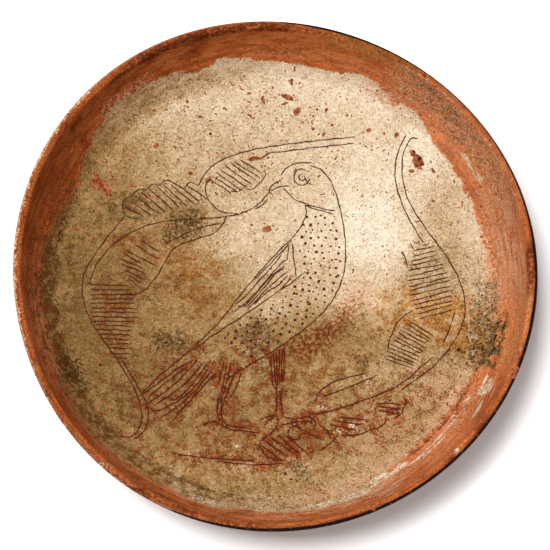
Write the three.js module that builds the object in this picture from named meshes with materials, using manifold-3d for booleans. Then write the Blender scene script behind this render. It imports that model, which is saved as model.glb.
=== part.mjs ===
// A sgraffito dish: a shallow dish of red clay on a foot ring, thrown and turned in one piece. Its
// inside is coated with pale slip, and a bird among leaves is cut through the slip into the clay.
// Millimetres, +Z up, origin in the middle of the foot on the ground. The bird looks towards -X
// and its head is towards +Y.
import * as THREE from "three";
import { mergeVertices } from "three/addons/utils/BufferGeometryUtils.js";
import Module from "manifold-3d";

const wasm = await Module();
wasm.setup();

// Driving sizes of the pot
const RIM_RADIUS = 134;
const HEIGHT = 61;
const LIP_RADIUS = 2.2;
const FOOT_OUTER_RADIUS = 54;
const FOOT_WIDTH = 8;
const FOOT_SPREAD = 3;
const FOOT_HEIGHT = 9.5;
const FOOT_RECESS = 6;
const FLOOR_MIDDLE_HEIGHT = 15;
const FLOOR_EDGE_RADIUS = 114;
const FLOOR_EDGE_HEIGHT = 26.3;
const FLOOR_CURVE = 2.2;
const FLOOR_RINGS = 6;
const SHOULDER_RADIUS = 113;
const SHOULDER_HEIGHT = 20.3;
const OUTSIDE_BEND_INSET = 5.5;
const OUTSIDE_BEND_RISE = 4.2;
const OUTSIDE_LIP_INSET = 0.2;
const OUTSIDE_LIP_DROP = 3;
const INSIDE_BEND_INSET = 9;
const INSIDE_BEND_RISE = 7.2;
const INSIDE_LIP_INSET = 4.7;
const INSIDE_LIP_DROP = 3.7;

// How finely the round form is divided; small rings get fewer sides
const WALL_STEPS = 4;
const LIP_STEPS = 4;
const ROUND_SIDES = 60;
const HALF_SIDES_WITHIN = 80;
const QUARTER_SIDES_WITHIN = 40;
const HALFWAY_SHIFT = 0.01;
const SAME_POINT_WITHIN = 1e-4;

// The rim went a little out of round in the drying: how far it leaves a circle of the mean radius
const MEAN_RIM_RADIUS = 133.6;
const OVAL_WARP = 1.2;
const OVAL_WARP_ANGLE = -42;
const THREE_LOBE_WARP = 0.9;
const THREE_LOBE_WARP_ANGLE = 8;

// Driving sizes of the cut lines
const LINE_WIDTH = 1.2;
const LINE_DEPTH = 0.6;
const HATCH_WIDTH = 1.0;
const HATCH_DEPTH = 0.5;
const LINE_STEP = 8;
const LINE_TAPER = 1.2;
const LONGEST_TAPER_SHARE = 0.3;
const ARC_STEPS = 6;
const CUTTER_RISE = 0.5;
const DOT_RADIUS = 0.8;
const DOT_DEPTH = 0.6;
const DOT_PITCH = 5.9;
const DOT_ROWS = 13;
const DOT_ROW_SHIFTS = [0.65, 0.3];

const degrees = (value) => (value * Math.PI) / 180;

// Height of the inside floor at a distance from the middle
function floorHeight(radius) {
  const rise = FLOOR_EDGE_HEIGHT - FLOOR_MIDDLE_HEIGHT;
  return FLOOR_MIDDLE_HEIGHT + rise * Math.pow(radius / FLOOR_EDGE_RADIUS, FLOOR_CURVE);
}

function underside() {
  const footInnerRadius = FOOT_OUTER_RADIUS - FOOT_WIDTH;
  return [
    new THREE.Vector2(0, FOOT_RECESS),
    new THREE.Vector2(footInnerRadius - FOOT_SPREAD, FOOT_RECESS),
    new THREE.Vector2(footInnerRadius, 0),
    new THREE.Vector2(FOOT_OUTER_RADIUS, 0),
    new THREE.Vector2(FOOT_OUTER_RADIUS + FOOT_SPREAD, FOOT_HEIGHT),
  ];
}

function outsideWall() {
  const shoulder = new THREE.Vector2(SHOULDER_RADIUS, SHOULDER_HEIGHT);
  const bend = new THREE.Vector2(
    RIM_RADIUS - OUTSIDE_BEND_INSET,
    SHOULDER_HEIGHT + OUTSIDE_BEND_RISE,
  );
  const belowLip = new THREE.Vector2(RIM_RADIUS - OUTSIDE_LIP_INSET, HEIGHT - OUTSIDE_LIP_DROP);
  return new THREE.QuadraticBezierCurve(shoulder, bend, belowLip).getPoints(WALL_STEPS);
}

function lip() {
  const middle = new THREE.Vector2(RIM_RADIUS - LIP_RADIUS, HEIGHT - LIP_RADIUS);
  return Array.from({ length: LIP_STEPS + 1 }, (_, i) => {
    const angle = degrees(180 * (i / LIP_STEPS));
    const offset = new THREE.Vector2(Math.cos(angle), Math.sin(angle));
    return offset.multiplyScalar(LIP_RADIUS).add(middle);
  });
}

function insideWall() {
  const belowLip = new THREE.Vector2(RIM_RADIUS - INSIDE_LIP_INSET, HEIGHT - INSIDE_LIP_DROP);
  const bend = new THREE.Vector2(
    RIM_RADIUS - INSIDE_BEND_INSET,
    FLOOR_EDGE_HEIGHT + INSIDE_BEND_RISE,
  );
  const crease = new THREE.Vector2(FLOOR_EDGE_RADIUS, FLOOR_EDGE_HEIGHT);
  return new THREE.QuadraticBezierCurve(belowLip, bend, crease).getPoints(WALL_STEPS);
}

function floor() {
  return Array.from({ length: FLOOR_RINGS }, (_, i) => {
    const radius = FLOOR_EDGE_RADIUS * (1 - (i + 1) / FLOOR_RINGS);
    return new THREE.Vector2(radius, floorHeight(radius));
  });
}

// How far the rim stands out from a true circle, in a direction
function rimWarp(angle) {
  const oval = OVAL_WARP * Math.cos(2 * (angle - degrees(OVAL_WARP_ANGLE)));
  const lobes = THREE_LOBE_WARP * Math.cos(3 * (angle - degrees(THREE_LOBE_WARP_ANGLE)));
  return MEAN_RIM_RADIUS - RIM_RADIUS + oval + lobes;
}

function sidesAt(radius) {
  if (radius < QUARTER_SIDES_WITHIN) return ROUND_SIDES / 4;
  if (radius < HALF_SIDES_WITHIN) return ROUND_SIDES / 2;
  return ROUND_SIDES;
}

// The points of small rings are drawn together in pairs or in fours, and a small shift settles
// which way the points halfway between two go
function roundAngle(angle, radius) {
  const side = (2 * Math.PI) / sidesAt(radius);
  return Math.round(angle / side + HALFWAY_SHIFT) * side;
}

// Moves each point of the turned form to its place on the warped dish
function warpRim(geometry) {
  const position = geometry.getAttribute("position");
  for (let i = 0; i < position.count; i++) {
    const radius = Math.hypot(position.getX(i), position.getY(i));
    const angle = roundAngle(Math.atan2(position.getY(i), position.getX(i)), radius);
    const share = radius / RIM_RADIUS;
    const warped = radius + rimWarp(angle) * share ** 3;
    position.setXY(i, warped * Math.cos(angle), warped * Math.sin(angle));
  }
}

// A closed geometry as a solid that can be cut
function solidOf(geometry) {
  const bare = geometry.clone();
  bare.deleteAttribute("normal");
  bare.deleteAttribute("uv");
  const merged = mergeVertices(bare, SAME_POINT_WITHIN);
  return new wasm.Manifold(
    new wasm.Mesh({
      numProp: 3,
      vertProperties: new Float32Array(merged.attributes.position.array),
      triVerts: new Uint32Array(merged.index.array),
    }),
  );
}

function geometryOf(solid) {
  const mesh = solid.getMesh();
  const geometry = new THREE.BufferGeometry();
  geometry.setAttribute("position", new THREE.BufferAttribute(mesh.vertProperties, 3));
  geometry.setIndex(new THREE.BufferAttribute(mesh.triVerts, 1));
  geometry.computeVertexNormals();
  return geometry;
}

function thrownBody() {
  const profile = [...underside(), ...outsideWall(), ...lip(), ...insideWall(), ...floor()];
  const geometry = new THREE.LatheGeometry(profile, ROUND_SIDES);
  geometry.rotateX(Math.PI / 2);
  warpRim(geometry);
  return solidOf(geometry);
}

// A smooth line through points on the floor, seen from above
function smoothLine(points) {
  const places = points.map(([x, y]) => new THREE.Vector3(x, y, 0));
  return new THREE.CatmullRomCurve3(places, false, "centripetal");
}

// A tool for one stroke: its V section follows the stroke on the floor and runs out at both ends
function strokeCutter(points, width, depth) {
  const line = smoothLine(points);
  const length = line.getLength();
  const taper = Math.min(LINE_TAPER / length, LONGEST_TAPER_SHARE);
  const gaps = points.length === 2 ? 1 : Math.ceil(length / LINE_STEP);
  const rise = CUTTER_RISE;
  const halfWidth = (0.5 * width * (rise + depth)) / depth;
  const surface = (place) => floorHeight(Math.hypot(place.x, place.y));
  const vertices = [];
  for (let i = 0; i <= gaps; i++) {
    const share = taper + (1 - 2 * taper) * (i / gaps);
    const place = line.getPointAt(share);
    const along = line.getTangentAt(share);
    const z = surface(place);
    const sideX = -along.y * halfWidth;
    const sideY = along.x * halfWidth;
    vertices.push(place.x + sideX, place.y + sideY, z + rise);
    vertices.push(place.x - sideX, place.y - sideY, z + rise);
    vertices.push(place.x, place.y, z - depth);
  }
  const tips = [line.getPointAt(0), line.getPointAt(1)];
  tips.forEach((tip) => vertices.push(tip.x, tip.y, surface(tip) + rise));
  const firstTip = 3 * (gaps + 1);
  const lastTip = firstTip + 1;
  const faces = [];
  for (let side = 0; side < 3; side++) {
    const next = (side + 1) % 3;
    faces.push(firstTip, next, side);
    for (let i = 0; i < gaps; i++) {
      const here = 3 * i;
      const ahead = here + 3;
      faces.push(here + side, ahead + next, ahead + side);
      faces.push(here + side, here + next, ahead + next);
    }
    faces.push(lastTip, 3 * gaps + side, 3 * gaps + next);
  }
  const geometry = new THREE.BufferGeometry();
  geometry.setAttribute("position", new THREE.Float32BufferAttribute(vertices, 3));
  geometry.setIndex(faces);
  return solidOf(geometry);
}

// Strokes spread evenly from one guide line to another
function hatching(count, fromPoints, toPoints) {
  const from = smoothLine(fromPoints);
  const to = smoothLine(toPoints);
  return Array.from({ length: count }, (_, i) => {
    const share = i / (count - 1);
    const start = from.getPointAt(share);
    const end = to.getPointAt(share);
    return [[start.x, start.y], [end.x, end.y]];
  });
}

// The outlines of the bird
function birdLines() {
  const nape = [[19.5, 66.5], [24.5, 64.5], [29, 60], [32, 54], [34.8, 44.5]];
  const backAndBelly = [[37, 33], [38, 20], [37, 9], [33.5, -1], [28, -10], [20, -18], [10, -26]];
  const thigh = [[0, -33], [-9, -38.5], [-18, -44], [-24, -48]];
  const throat = [[5, 55], [8, 51.5], [12, 48], [16.5, 46.2]];
  const breast = [[16.8, 45], [17.2, 40.5], [15, 35], [10.5, 28.5], [4, 22], [-3, 14.5], [-11, 5]];
  const wingTop = [[-19, -5], [-26, -14.5], [-32, -21.5], [-40, -29.5], [-48, -37], [-54, -42.5]];
  return [
    [...nape, ...backAndBelly, ...thigh],
    [[4, 61], [6, 64.5], [10, 67], [15, 68], [20, 67.8]],
    [[4.5, 59.3], [1, 57.2], [-1.8, 54.7], [-2.4, 52.3]],
    [[-2, 52.5], [0.5, 54.2], [3, 55.2], [8.5, 55.5]],
    [...throat, [24, 43.8], [32.5, 42]],
    [[16.5, 45.3], [22, 43.2], [31.2, 40.6]],
    [...breast, ...wingTop],
    [[9.5, 26], [4, 20], [-4, 11.5], [-11, 4.5]],
    [[9.8, 25], [10.7, 16], [12, 7]],
    [[15.5, 8.5], [10, 4], [3, -0.7], [-9, -9.3], [-20, -17], [-32, -25]],
  ];
}

// The ring of the eye, open towards the nape, with its curl inside
function eyeLines() {
  const middle = [15, 60.3];
  const arc = (radius, startAngle, endAngle) =>
    Array.from({ length: ARC_STEPS + 1 }, (_, i) => {
      const angle = degrees(startAngle + (endAngle - startAngle) * (i / ARC_STEPS));
      return [middle[0] + radius * Math.cos(angle), middle[1] + radius * Math.sin(angle)];
    });
  return [arc(4.3, 60, 310), arc(1.7, 80, 350)];
}

function wingFeathers() {
  return hatching(7, [[4.5, 19], [6, 12], [9, 6.3]], [[-20, -8], [-17, -11], [-4, -4.5]]);
}

function tailLines() {
  const topEdge = [[-41.5, -38], [-50, -43], [-60, -51], [-68.5, -57.5]];
  const roots = [[-40, -39], [-35, -41.5], [-29.5, -45.5]];
  const tips = [[-66, -61], [-61, -67], [-53, -72]];
  return [topEdge, ...hatching(7, roots, tips)];
}

function legLines() {
  const leftThigh = hatching(5, [[-27, -40], [-22, -40], [-17, -45]], [[-29, -55], [-23.5, -60]]);
  const rightThigh = hatching(5, [[-1.3, -36], [5.8, -31.5]], [[-0.5, -51], [5, -50]]);
  return [
    ...leftThigh,
    ...rightThigh,
    [[-28, -57], [-29.3, -62], [-29, -67], [-27.5, -70.5]],
    [[-26, -61], [-27, -65], [-26.5, -70]],
    [[1.5, -52], [1.5, -60], [1.5, -67.5]],
    [[4.5, -52], [3.8, -60], [5, -68]],
  ];
}

function footLines() {
  return [
    [[-35.5, -73.5], [-34, -71.5], [-31, -71], [-28.5, -72]],
    [[-26, -71], [-24, -73], [-20, -74], [-14, -74.3]],
    [[-27, -73], [-23, -75], [-16, -76], [-8, -77]],
    [[-7, -70], [-3, -68.5], [1, -68], [2.2, -71], [1, -75], [-3, -78.5], [-7, -81.5]],
    [[6, -69], [12, -69.5], [18, -68.5], [21, -70], [21.5, -73], [20.5, -75]],
    [[4, -73], [10, -71.5], [18, -71]],
  ];
}

// The tendril that the bird holds in its beak, and the one that runs over its head
function tendrilLines() {
  const beakTendril = [[-2.5, 52], [-8.5, 45.5], [-17, 41], [-32, 38.3], [-50, 37], [-66, 33.8]];
  return [
    [...beakTendril, [-81, 25.5], [-92, 13], [-96.5, 1]],
    [[43, 81.2], [20, 79.3], [-8, 75.5], [-20, 72.3], [-29, 68.5], [-35, 63.5], [-39.8, 55.5]],
    [[42.5, 77.8], [20, 75.8], [4, 73.8], [-2.5, 73], [-7, 69.8]],
    [[-33, 60.5], [-36.2, 54.5], [-35, 49.5], [-32, 45], [-28, 42], [-18, 40.5]],
  ];
}

// The long stems that frame the drawing at the left, at the right and below
function stemLines() {
  const leftUpper = [[-78, 38.5], [-88, 25.5], [-98, 9], [-100, 0], [-98.5, -10], [-94.5, -19.5]];
  const leftLower = [[-80, -41], [-70.5, -58], [-68, -70], [-70, -76.5], [-74, -80.3], [-79, -79.8]];
  const rightUpper = [[76.5, 79], [73, 79.5], [69, 73], [67.8, 63], [70.5, 48.5], [80, 31.5]];
  const rightLower = [[91, 15.5], [98.5, -1], [99.5, -16], [93.5, -30], [84, -41.5], [66, -55]];
  return [
    [...leftUpper, ...leftLower],
    [[-78.5, -39], [-70.5, -53], [-65, -65], [-66.5, -76.5], [-72, -81.5]],
    [...rightUpper, ...rightLower],
    [[70, 81.8], [65.3, 71], [64.3, 58], [69, 42], [78.5, 24]],
    [[82.5, -37.5], [66, -51.5], [50, -58.7], [34, -64.3], [20, -67.5]],
    [[22, -60], [23, -56.5], [30, -50.5], [47, -45.5]],
    [[26, -57.5], [36, -54], [53, -47]],
    [[-53, -88], [-40, -90], [-20, -91.5], [-10, -92.5]],
    [[-30, -92.3], [-10, -94.2], [5, -93.5]],
  ];
}

function leafOutlines() {
  return [
    [[-79, 41], [-79.5, 45.5], [-74.5, 49.2]],
    [[-74.5, 49.5], [-70.5, 53], [-67.5, 52]],
    [[-67.5, 52.5], [-64, 55.7], [-60, 55]],
    [[-60.2, 55.5], [-56, 57.9], [-47, 53]],
    [[-47, 54], [-44, 57.3], [-40, 55.3]],
    [[-5, 64], [-4.2, 61.5], [-7, 57.5]],
    [[-6.5, 58], [-11, 54], [-14.5, 54]],
    [[-14.5, 55.5], [-19.5, 52.3], [-22.5, 53]],
    [[-24.5, 39.5], [-30, 31.3], [-43, 26], [-52, 22], [-62, 5.5], [-70, -2.7], [-80, -4.2]],
    [[-28.5, 35.5], [-41, 32], [-57, 24.5]],
    [[73, -12], [65.5, -17.5], [60.5, -28], [59.5, -34]],
    [[94.3, -14.5], [92, -21.5], [88.5, -30]],
    [[-7, -84], [-5, -88], [5, -92]],
    [[68.5, -60], [67, -66.5], [58, -72], [50, -75.5], [36, -78.5]],
  ];
}

function leafHatchings() {
  return [
    ...hatching(8, [[-18, 70.3], [-34.5, 59]], [[-5.8, 62.5], [-22.5, 51]]),
    ...hatching(10, [[-78.5, 43.5], [-65.5, 54], [-46, 55]], [[-68, 38], [-52, 42.5], [-35, 47]]),
    ...hatching(8, [[-82.5, 13], [-78.5, 18.5], [-67, 26]], [[-71, 1], [-66.5, 6], [-61, 18.5]]),
    ...hatching(11, [[-96, 0.8], [-95.5, -12], [-90, -28]], [[-77, 0.5], [-71, -12], [-75, -28]]),
    ...hatching(14, [[73.5, 19.5], [71, 2], [76, -17]], [[83.5, 21.8], [91.5, 3], [93.5, -13]]),
    ...hatching(8, [[70.5, -17.5], [61, -30], [58.5, -38]], [[83, -26.5], [76, -37], [72, -43.5]]),
    ...hatching(6, [[53, -60.5], [33, -70], [29, -74]], [[66.5, -62.5], [50, -73.5], [40, -78]]),
    ...hatching(5, [[-5, -83], [10, -77]], [[3, -90], [18, -88]]),
  ];
}

// Rows of pricked dots fill the bird's body between the wing and the back
function dotPlaces() {
  const wingEdge = smoothLine([[14, 38], [13, 22], [15, 8], [3, -4], [-14, -15], [-30, -27]]);
  const bodyEdge = smoothLine([[33, 38], [35.5, 22], [34.5, 6], [25, -10], [6, -25], [-14, -38]]);
  const places = [];
  for (let row = 0; row < DOT_ROWS; row++) {
    const from = wingEdge.getPointAt(row / (DOT_ROWS - 1));
    const to = bodyEdge.getPointAt(row / (DOT_ROWS - 1));
    const count = Math.round(from.distanceTo(to) / DOT_PITCH);
    const shift = DOT_ROW_SHIFTS[row % 2];
    for (let i = 0; i < count; i++) {
      const place = from.clone().lerp(to, (i + shift) / count);
      places.push([place.x, place.y]);
    }
  }
  return places;
}

// A tool for one pricked dot: a square pyramid with its point down
function dotCutter([x, y]) {
  const height = CUTTER_RISE + DOT_DEPTH;
  const radius = (DOT_RADIUS * height) / DOT_DEPTH;
  const geometry = new THREE.ConeGeometry(radius, height, 4);
  geometry.rotateX(-Math.PI / 2);
  geometry.translate(x, y, floorHeight(Math.hypot(x, y)) - DOT_DEPTH + height / 2);
  return solidOf(geometry);
}

// Small losses: three chips in the rim and one spall in the slip
function lossCutters() {
  const losses = [
    { x: -83.5, y: -101.8, z: 60.6, size: [3.2, 2.6, 1.7] },
    { x: 78.6, y: 103.8, z: 61, size: [2.4, 1.8, 1.3] },
    { x: 122, y: -53.3, z: 60.6, size: [3.6, 3, 1.4] },
    { x: 76.5, y: 67.5, z: 24.6, size: [3, 3.8, 1.6] },
  ];
  return losses.map(({ x, y, z, size }) => {
    const geometry = new THREE.IcosahedronGeometry(1);
    geometry.scale(...size);
    geometry.translate(x, y, z);
    return solidOf(geometry);
  });
}

function sgraffitoDish() {
  const drawnLines = [
    ...birdLines(),
    ...eyeLines(),
    ...tendrilLines(),
    ...stemLines(),
    ...leafOutlines(),
    ...footLines(),
  ];
  const hatchLines = [...wingFeathers(), ...tailLines(), ...legLines(), ...leafHatchings()];
  const cutters = [
    ...drawnLines.map((points) => strokeCutter(points, LINE_WIDTH, LINE_DEPTH)),
    ...hatchLines.map((points) => strokeCutter(points, HATCH_WIDTH, HATCH_DEPTH)),
    ...dotPlaces().map(dotCutter),
    ...lossCutters(),
  ];
  const cut = cutters.reduce((dish, cutter) => dish.subtract(cutter), thrownBody());
  const material = new THREE.MeshStandardMaterial({
    color: 0xb98a5e,
    roughness: 0.62,
    metalness: 0,
  });
  const mesh = new THREE.Mesh(geometryOf(cut), material);
  mesh.name = "sgraffito_dish";
  return mesh;
}

const dish = new THREE.Group();
dish.add(sgraffitoDish());

export default dish;
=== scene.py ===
import math

import bpy
import numpy as np
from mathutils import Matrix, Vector, kdtree
from mathutils.geometry import delaunay_2d_cdt


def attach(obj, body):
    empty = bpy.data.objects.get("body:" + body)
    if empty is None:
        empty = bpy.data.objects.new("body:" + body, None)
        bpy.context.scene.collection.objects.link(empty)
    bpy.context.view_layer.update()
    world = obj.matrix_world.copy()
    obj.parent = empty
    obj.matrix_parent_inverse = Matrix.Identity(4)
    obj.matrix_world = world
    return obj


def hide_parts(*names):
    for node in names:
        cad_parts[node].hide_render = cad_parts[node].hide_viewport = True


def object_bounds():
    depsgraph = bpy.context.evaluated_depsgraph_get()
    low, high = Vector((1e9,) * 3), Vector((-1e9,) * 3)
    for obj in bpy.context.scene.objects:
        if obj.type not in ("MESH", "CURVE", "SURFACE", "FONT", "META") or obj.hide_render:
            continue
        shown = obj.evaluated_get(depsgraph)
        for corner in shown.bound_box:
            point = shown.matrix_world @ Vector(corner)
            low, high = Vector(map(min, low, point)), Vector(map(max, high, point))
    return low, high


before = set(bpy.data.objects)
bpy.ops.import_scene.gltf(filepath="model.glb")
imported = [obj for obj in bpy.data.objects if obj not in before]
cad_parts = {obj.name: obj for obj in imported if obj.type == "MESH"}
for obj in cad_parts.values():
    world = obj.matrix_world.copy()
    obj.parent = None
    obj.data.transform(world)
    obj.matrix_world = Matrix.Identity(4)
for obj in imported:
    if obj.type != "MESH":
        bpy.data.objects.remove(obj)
cad_low, cad_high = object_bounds()

MILLIMETRE = 0.001

# Sizes of the pot
HEIGHT = (cad_high.z - cad_low.z) / MILLIMETRE
RIM_RADIUS = 134.0
LIP_RADIUS = 2.2
FOOT_RECESS = 6.0
SHOULDER = (113.0, 20.3)
OUTSIDE_BEND = (128.5, 24.5)
OUTSIDE_LIP = (133.8, 58.0)
INSIDE_LIP = (129.3, 57.3)
INSIDE_BEND = (125.0, 33.5)
CREASE = (114.0, 26.3)
FLOOR_MIDDLE_HEIGHT = 15.0
FLOOR_CURVE = 2.2
TOOL_RIDGES = 0.16
THROWING_RINGS = 0.12
BROAD_WAVES = 0.14
SMALL_WAVES = 0.05

# How the rim went out of round in the drying, with angles in degrees
MEAN_SHIFT = -0.4
OVAL_SWING = 1.2
OVAL_ANGLE = -42
LOBE_SWING = 0.9
LOBE_ANGLE = 8

# How finely the pot is divided
FINE_SIDES = 640
COARSE_SIDES = 320
FLOOR_STEP = 1.45
STROKE_STEP = 0.6
GUIDE_STEP = 0.5
SPLINE_STEPS = 12
ROW_SPACING = 0.866
NET_MARGIN = 1.4
NET_JITTER = 0.2
DOT_SIDES = 7
FLAKE_SIDES = 10
NEAREST_POINTS = 0.24
ROOM_BESIDE_STROKES = 0.85

# Sizes of the cuts
LINE_HALF_WIDTH = 0.47
NARROWEST_HALF = 0.27
END_REACH = 0.42
LINE_DEPTH = 0.3
LINE_TAPER = 1.6
THINNEST_TAPER = 0.35
LINE_WOBBLE = 0.11
LINE_SWELL = 0.18
LINE_TREMOR = 0.06
HATCH_UNEVENNESS = 0.35
DOT_ROWS = 25
DOT_PITCH = 4.2
DOT_JITTER = 0.6
DOT_RADII = (0.6, 1.1)
DOT_EDGE = 1.15
FLAKE_DEPTH = 0.22
FAR_FROM_STROKES = 50.0
RUSTY_EDGE = 1.1

# How bright a white surface lying flat is in this light, where 1 is white on the screen
LIGHT_LEVEL = 1.5

random = np.random.default_rng(7)


# The pot's form

def warp(angle):
    """How far the rim stands out from a true circle."""
    oval = OVAL_SWING * np.cos(2 * (angle - math.radians(OVAL_ANGLE)))
    lobes = LOBE_SWING * np.cos(3 * (angle - math.radians(LOBE_ANGLE)))
    return MEAN_SHIFT + oval + lobes


def warped(radius, angle):
    return radius + warp(angle) * (radius / RIM_RADIUS) ** 3


def floor_height(radius):
    rise = CREASE[1] - FLOOR_MIDDLE_HEIGHT
    return FLOOR_MIDDLE_HEIGHT + rise * (radius / CREASE[0]) ** FLOOR_CURVE


def bezier(start, bend, end, steps):
    share = np.linspace(0, 1, steps + 1)[:, None]
    start, bend, end = np.array(start), np.array(bend), np.array(end)
    return (1 - share) ** 2 * start + 2 * share * (1 - share) * bend + share ** 2 * end


def foot_profile():
    """The recess under the middle and the foot ring, with its edges worn round."""
    rings = (5, 12, 19, 26, 33, 39, 42.4)
    recess = [(radius, FOOT_RECESS - 0.4 * (radius / 43) ** 4) for radius in rings]
    ring = [(43.6, 4.4), (44.8, 2.0), (45.5, 0.7), (46.4, 0.1), (47.6, 0.0), (52.4, 0.0)]
    outer = [(53.6, 0.15), (54.4, 0.8), (55.2, 3.4), (56.0, 6.4), (56.8, 8.6), (58.2, 9.8)]
    return recess + ring + outer


def outside_profile():
    """The turned outside, from the foot to below the lip, with shallow ridges left by the tool."""
    start = np.array([59.6, 10.0])
    shoulder = np.array(SHOULDER)
    cone = [tuple(start + (shoulder - start) * share) for share in np.linspace(0, 1, 37)]
    ridged = [
        (radius, height + TOOL_RIDGES * math.sin(radius * 1.35) * math.sin(radius * 0.21))
        for radius, height in cone
    ]
    wall = [tuple(point) for point in bezier(SHOULDER, OUTSIDE_BEND, OUTSIDE_LIP, 20)[1:]]
    return ridged, wall


def lip_profile():
    angles = np.linspace(math.radians(12), math.radians(168), 11)
    middle = (RIM_RADIUS - LIP_RADIUS, HEIGHT - LIP_RADIUS)
    return [(middle[0] + LIP_RADIUS * math.cos(a), middle[1] + LIP_RADIUS * math.sin(a)) for a in angles]


def inside_profile():
    """The inside wall down to the crease, with faint throwing rings."""
    points = bezier(INSIDE_LIP, INSIDE_BEND, CREASE, 26)
    return [
        (radius - THROWING_RINGS * math.sin(height * 1.3) * math.sin((height - 26) * 0.1), height)
        for radius, height in points
    ]


# Drawing with the pointed tool

def run_along(places):
    """How far along a line each of its places is."""
    return np.concatenate([[0], np.cumsum(np.linalg.norm(np.diff(places, axis=0), axis=1))])


def smooth_line(points, step):
    """Evenly spaced places along a smooth line through points."""
    points = np.array(points, float)
    if len(points) == 2:
        middle = points.mean(0)
        points = np.array([points[0], middle, points[1]])
    before = 2 * points[0] - points[1]
    after = 2 * points[-1] - points[-2]
    padded = np.vstack([before, points, after])
    places = []
    for p0, p1, p2, p3 in zip(padded, padded[1:], padded[2:], padded[3:]):
        gaps = [math.sqrt(max(np.linalg.norm(b - a), 1e-3)) for a, b in ((p0, p1), (p1, p2), (p2, p3))]
        t1, t2, t3 = gaps[0], gaps[0] + gaps[1], sum(gaps)
        for t in np.linspace(t1, t2, SPLINE_STEPS, endpoint=False):
            a1 = (t1 - t) / t1 * p0 + t / t1 * p1
            a2 = (t2 - t) / (t2 - t1) * p1 + (t - t1) / (t2 - t1) * p2
            a3 = (t3 - t) / (t3 - t2) * p2 + (t - t2) / (t3 - t2) * p3
            b1 = (t2 - t) / t2 * a1 + t / t2 * a2
            b2 = (t3 - t) / (t3 - t1) * a2 + (t - t1) / (t3 - t1) * a3
            places.append((t2 - t) / (t2 - t1) * b1 + (t - t1) / (t2 - t1) * b2)
    places.append(points[-1])
    places = np.array(places)
    run = run_along(places)
    count = max(2, int(round(run[-1] / step)) + 1)
    wanted = np.linspace(0, run[-1], count)
    return np.stack([np.interp(wanted, run, places[:, axis]) for axis in (0, 1)], 1)


def jitter():
    return random.uniform(-HATCH_UNEVENNESS, HATCH_UNEVENNESS, 2)


def hatching(count, from_points, to_points):
    """Strokes spread from one guide line to another, none quite as the next."""
    start = smooth_line(from_points, GUIDE_STEP)
    end = smooth_line(to_points, GUIDE_STEP)
    strokes = []
    for i in range(count):
        share = i / (count - 1)
        a = start[int(round(share * (len(start) - 1)))] + jitter()
        b = end[int(round(share * (len(end) - 1)))] + jitter()
        sag = (a + b) / 2 + jitter() / 2
        strokes.append([a, sag, b])
    return strokes


def arc(middle, radius, start, end):
    angles = np.radians(np.linspace(start, end, 9))
    return [(middle[0] + radius * math.cos(a), middle[1] + radius * math.sin(a)) for a in angles]


def bird_lines():
    nape = [(19.5, 66.5), (24.5, 64.5), (29, 60), (32, 54), (34.8, 44.5)]
    back_and_belly = [(37, 33), (38, 20), (37, 9), (33.5, -1), (28, -10), (20, -18), (10, -26)]
    thigh = [(0, -33), (-9, -38.5), (-18, -44), (-24, -48)]
    throat = [(5, 55), (8, 51.5), (12, 48), (16.5, 46.2)]
    breast = [(16.8, 45), (17.2, 40.5), (15, 35), (10.5, 28.5), (4, 22), (-3, 14.5), (-11, 5)]
    wing_top = [(-19, -5), (-26, -14.5), (-32, -21.5), (-40, -29.5), (-48, -37), (-54, -42.5)]
    return [
        nape + back_and_belly + thigh,
        [(4, 61), (6, 64.5), (10, 67), (15, 68), (20, 67.8)],
        [(4.5, 59.3), (1, 57.2), (-1.8, 54.7), (-2.4, 52.3), (-2, 52), (-0.5, 50.8)],
        [(-2, 52.5), (0.5, 54.2), (3, 55.2), (8.5, 55.5)],
        throat + [(24, 43.8), (32.5, 42)],
        [(16.5, 45.3), (22, 43.2), (27, 41.8), (31.2, 40.6)],
        breast + wing_top + [(-60, -47.5), (-65, -53), (-68.5, -57)],
        [(9.5, 26), (4, 20), (-4, 11.5), (-11, 4.5)],
        [(9.8, 25), (10.7, 16), (12, 7)],
        [(8, 23.5), (7.2, 16)],
        [(15.5, 8.5), (10, 4), (3, -0.7), (-9, -9.3), (-20, -17), (-32, -25), (-40, -31.5)],
        [(-36, -28.5), (-42, -33)],
        [(-3, 48.5), (-6, 45.5), (-10, 43.2)],
    ]


def eye_lines():
    middle = (15, 60.3)
    return [
        arc(middle, 4.3, 60, 350), arc(middle, 1.7, 80, 350), [(16, 61), (18, 57.5), (20.5, 56.2)],
        [(17.7, 63.2), (18.7, 63.5)],
    ]


def wing_feathers():
    return [
        [(4.5, 19), (-2, 11), (-10, 2), (-14, -3), (-20, -8)],
        [(7, 16), (5, 15), (0, 9.5), (-8, 0), (-14, -6.5), (-20.5, -12)],
        [(5.5, 12.5), (-2, 6.5), (-9, -2), (-16, -10)],
        [(6, 11.5), (0, 7.5), (-5, 1), (-14, -9.5)],
        [(7, 9.5), (0, 3.5), (-6, -2.5), (-13.5, -10.5)],
        [(7.5, 7.5), (2, 2), (-3, -1), (-10, -8)],
        [(9.3, 6.3), (5, 1.5), (3.5, -0.5)],
    ]


def tail_lines():
    return [
        [(-41.5, -38), (-50, -43), (-60, -51), (-68.5, -57.5)],
        [(-45, -42), (-54, -49), (-63, -57), (-65, -60)],
        [(-40, -38.5), (-48, -48), (-58, -57), (-65, -62)],
        [(-37, -40), (-45, -50), (-52, -56), (-62, -63)],
        [(-35, -41), (-43, -52), (-50, -59), (-54, -60)],
        [(-33.5, -42), (-42, -54), (-52, -62), (-60, -66)],
        [(-32, -43.5), (-41, -55), (-50, -63.5), (-59, -70)],
        [(-30, -45), (-38, -54), (-45, -62), (-53, -72)], [(-64, -64), (-62, -66), (-59, -65)],
    ]


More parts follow.
